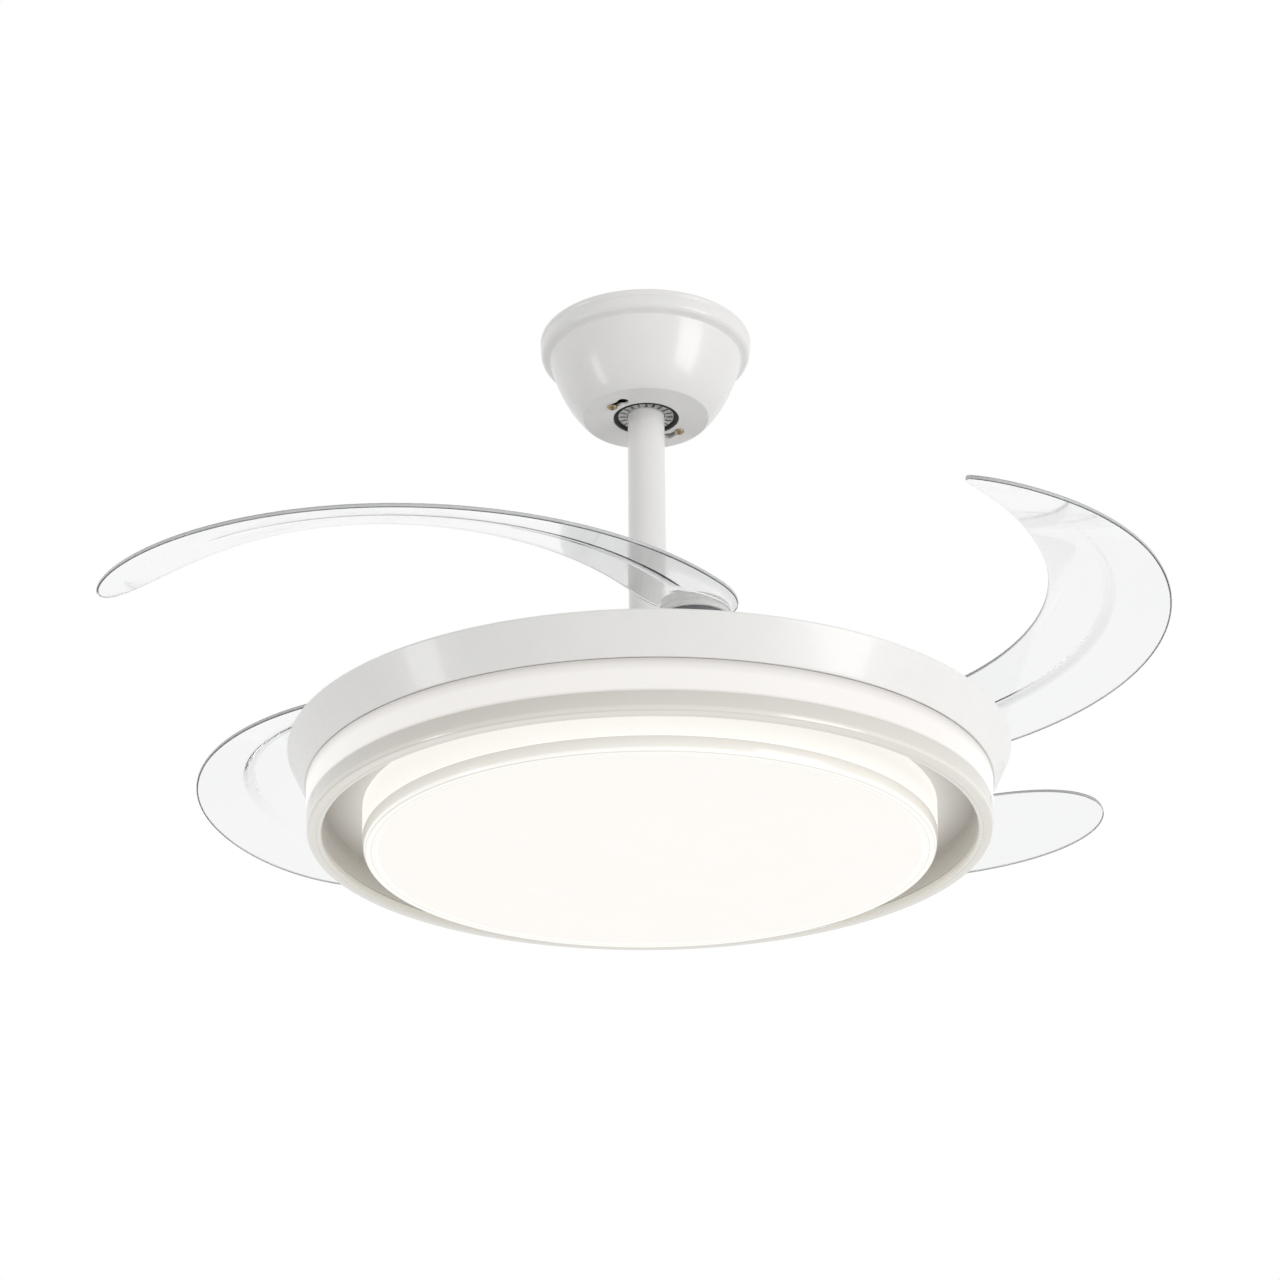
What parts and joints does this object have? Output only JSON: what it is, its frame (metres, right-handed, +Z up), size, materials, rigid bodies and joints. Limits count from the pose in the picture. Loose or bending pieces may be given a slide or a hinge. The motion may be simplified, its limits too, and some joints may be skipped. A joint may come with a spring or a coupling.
{
  "type": "retractable blade ceiling fan",
  "caption": "Ceiling fan with a round lit lamp drum and clear curved blades that fold over the drum, hung on a short downrod from a bell canopy.",
  "frame": {"origin": "middle of the ceiling face, on top of the hanger bracket", "axes": "+Z up, out of the ceiling face; -Y towards the viewer of the picture; +X to the right"},
  "size_m": [0.7018, 0.7018, 0.4067],
  "materials": {
    "white_paint": "semi-gloss enamel",
    "grey_paint": "satin",
    "clear_plastic": "clear, polished",
    "opal_plastic": "opal, back-lit satin",
    "steel": "turned",
    "zinc_steel": "zinc plated",
    "aluminium_casting": "cast, fine blasted",
    "brass": "plain",
    "copper": "wound wire",
    "dark_nylon": "moulded",
    "white_nylon": "moulded",
    "black_rubber": "matte",
    "board": "solder mask"
  },
  "bodies": {
    "ceiling_mount": {"hanger_bracket": "zinc_steel", "canopy": "white_paint", "canopy_screw_1": "brass", "canopy_screw_2": "brass", "ball_gasket": "black_rubber"},
    "hanging_frame": {"hanger_ball": "grey_paint", "ball_pin": "steel", "downrod": "white_paint", "rod_coupling": "zinc_steel", "coupling_pin": "steel", "coupling_set_screw": "steel", "motor_shaft": "steel", "shaft_nut": "zinc_steel", "motor_stator": "copper", "lower_bearing": "steel", "upper_bearing": "steel", "drum_shell": "white_paint", "lamp_chassis": "white_paint", "outer_band": "opal_plastic", "outer_ring": "clear_plastic", "trough": "grey_paint", "inner_band": "opal_plastic", "inner_rim": "clear_plastic", "main_diffuser": "opal_plastic", "led_board_inner": "board", "led_board_outer": "board", "led_driver": "white_nylon", "receiver_box": "white_nylon"},
    "rotor": {"motor_lower_shell": "aluminium_casting", "motor_upper_shell": "aluminium_casting", "blade_carrier": "zinc_steel", "return_spring": "steel", "pivot_pin_1": "steel", "pivot_pin_2": "steel", "pivot_pin_3": "steel", "pivot_pin_4": "steel", "carrier_screw_1": "zinc_steel", "carrier_screw_2": "zinc_steel", "carrier_screw_3": "zinc_steel", "carrier_screw_4": "zinc_steel"},
    "sync_ring": {"sync_gear": "dark_nylon"},
    "blade_arm_1": {"blade_1": "clear_plastic", "blade_gear_1": "dark_nylon", "hub_cap_1": "white_nylon"},
    "blade_arm_2": {"blade_2": "clear_plastic", "blade_gear_2": "dark_nylon", "hub_cap_2": "white_nylon"},
    "blade_arm_3": {"blade_3": "clear_plastic", "blade_gear_3": "dark_nylon", "hub_cap_3": "white_nylon"},
    "blade_arm_4": {"blade_4": "clear_plastic", "blade_gear_4": "dark_nylon", "hub_cap_4": "white_nylon"}
  },
  "joints": [
    {"name": "ball_swing", "type": "hinge", "parent": "ceiling_mount", "child": "hanging_frame", "pos_m": [0, 0, -0.046], "axis": [1, 0, 0], "range_deg": [-12, 12]},
    {"name": "rotor_spin", "type": "hinge", "parent": "hanging_frame", "child": "rotor", "pos_m": [0, 0, -0.3], "axis": [0, 0, 1], "continuous": true},
    {"name": "blade_swing_1", "type": "hinge", "parent": "rotor", "child": "blade_arm_1", "pos_m": [0.02725, -0.18677, -0.32], "axis": [0, 0, 1], "range_deg": [-54.5, 55.5]},
    {"name": "blade_swing_2", "type": "hinge", "parent": "rotor", "child": "blade_arm_2", "pos_m": [0.18677, 0.02725, -0.32], "axis": [0, 0, 1], "range_deg": [-54.5, 55.5]},
    {"name": "blade_swing_3", "type": "hinge", "parent": "rotor", "child": "blade_arm_3", "pos_m": [-0.02725, 0.18677, -0.32], "axis": [0, 0, 1], "range_deg": [-54.5, 55.5]},
    {"name": "blade_swing_4", "type": "hinge", "parent": "rotor", "child": "blade_arm_4", "pos_m": [-0.18677, -0.02725, -0.32], "axis": [0, 0, 1], "range_deg": [-54.5, 55.5]},
    {"name": "sync_turn", "type": "hinge", "parent": "rotor", "child": "sync_ring", "pos_m": [0, 0, -0.324], "axis": [0, 0, 1], "range_deg": [-6.2, 6.1]}
  ],
  "couplings": [
    {"joint": "blade_swing_2", "follows": "blade_swing_1", "ratio": 1},
    {"joint": "blade_swing_3", "follows": "blade_swing_1", "ratio": 1},
    {"joint": "blade_swing_4", "follows": "blade_swing_1", "ratio": 1},
    {"joint": "sync_turn", "follows": "blade_swing_1", "ratio": -0.11029}
  ]
}
